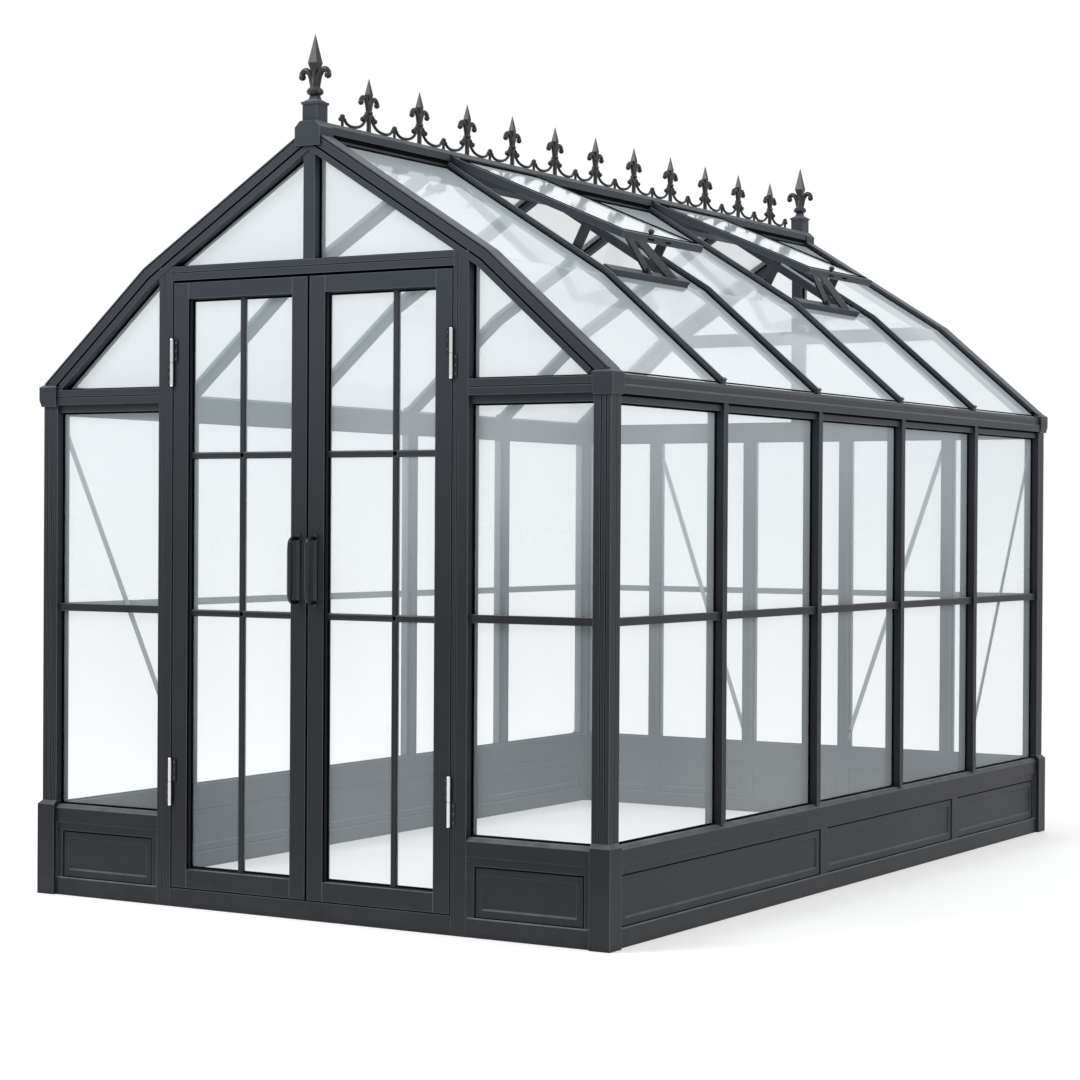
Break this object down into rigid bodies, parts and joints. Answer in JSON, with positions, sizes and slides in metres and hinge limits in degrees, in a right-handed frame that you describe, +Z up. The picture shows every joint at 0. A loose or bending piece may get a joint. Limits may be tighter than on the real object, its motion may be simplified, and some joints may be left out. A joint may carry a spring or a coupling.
{
  "type": "glass greenhouse",
  "caption": "Charcoal metal greenhouse with a kinked glass roof, spiked ridge cresting, two open roof vents, a panelled base and hinged double doors.",
  "frame": {"origin": "middle of the footprint, on the ground", "axes": "+Z up, +Y from the door gable to the rear gable along the ridge, +X to the right seen from the doors"},
  "size_m": [2.24, 3.683, 2.816],
  "materials": {
    "charcoal_frame": "satin powder coat",
    "cast_trim": "satin paint on castings",
    "clear_glass": "clear, very slightly blue-green",
    "grey_brace": "light grey",
    "hinge_steel": "bare stainless",
    "handle_black": "gloss black"
  },
  "bodies": {
    "greenhouse": {"base_corner_blocks": "charcoal_frame", "base_walls_front": "charcoal_frame", "base_walls_side": "charcoal_frame", "base_wall_rear": "charcoal_frame", "door_sill": "charcoal_frame", "corner_posts": "charcoal_frame", "corner_post_caps": "charcoal_frame", "side_posts": "charcoal_frame", "rear_mullions": "charcoal_frame", "door_jambs": "charcoal_frame", "king_posts": "charcoal_frame", "door_head": "charcoal_frame", "front_eave_rails": "charcoal_frame", "rear_gable_rails": "charcoal_frame", "side_top_rails": "charcoal_frame", "mid_rails": "charcoal_frame", "eave_gutters": "charcoal_frame", "gable_rafters_lower": "charcoal_frame", "gable_rafters_upper": "charcoal_frame", "roof_bars_lower": "charcoal_frame", "roof_bars_upper": "charcoal_frame", "ridge_beam": "charcoal_frame", "ridge_end_blocks": "charcoal_frame", "finials": "cast_trim", "ridge_crest_spears": "cast_trim", "ridge_crest_buds": "cast_trim", "side_wall_glass": "clear_glass", "end_wall_glass": "clear_glass", "gable_glass": "clear_glass", "lower_roof_glass": "clear_glass", "upper_roof_glass": "clear_glass", "vent_sashes": "charcoal_frame", "vent_glass": "clear_glass", "vent_curbs": "charcoal_frame", "vent_openers": "cast_trim", "wall_braces": "grey_brace", "hinge_brackets": "hinge_steel"},
    "left_leaf": {"left_door_stiles": "charcoal_frame", "left_door_rails": "charcoal_frame", "left_door_glass": "clear_glass", "left_door_hinges": "hinge_steel", "left_door_handle": "handle_black"},
    "right_leaf": {"right_door_stiles": "charcoal_frame", "right_door_rails": "charcoal_frame", "right_door_glass": "clear_glass", "right_door_hinges": "hinge_steel", "right_door_handle": "handle_black"}
  },
  "joints": [
    {"name": "left_door", "type": "hinge", "parent": "greenhouse", "child": "left_leaf", "pos_m": [-0.5475, -1.816, 1.0975], "axis": [0, 0, -1], "range_deg": [0, 120]},
    {"name": "right_door", "type": "hinge", "parent": "greenhouse", "child": "right_leaf", "pos_m": [0.5475, -1.816, 1.0975], "axis": [0, 0, 1], "range_deg": [0, 120]}
  ]
}
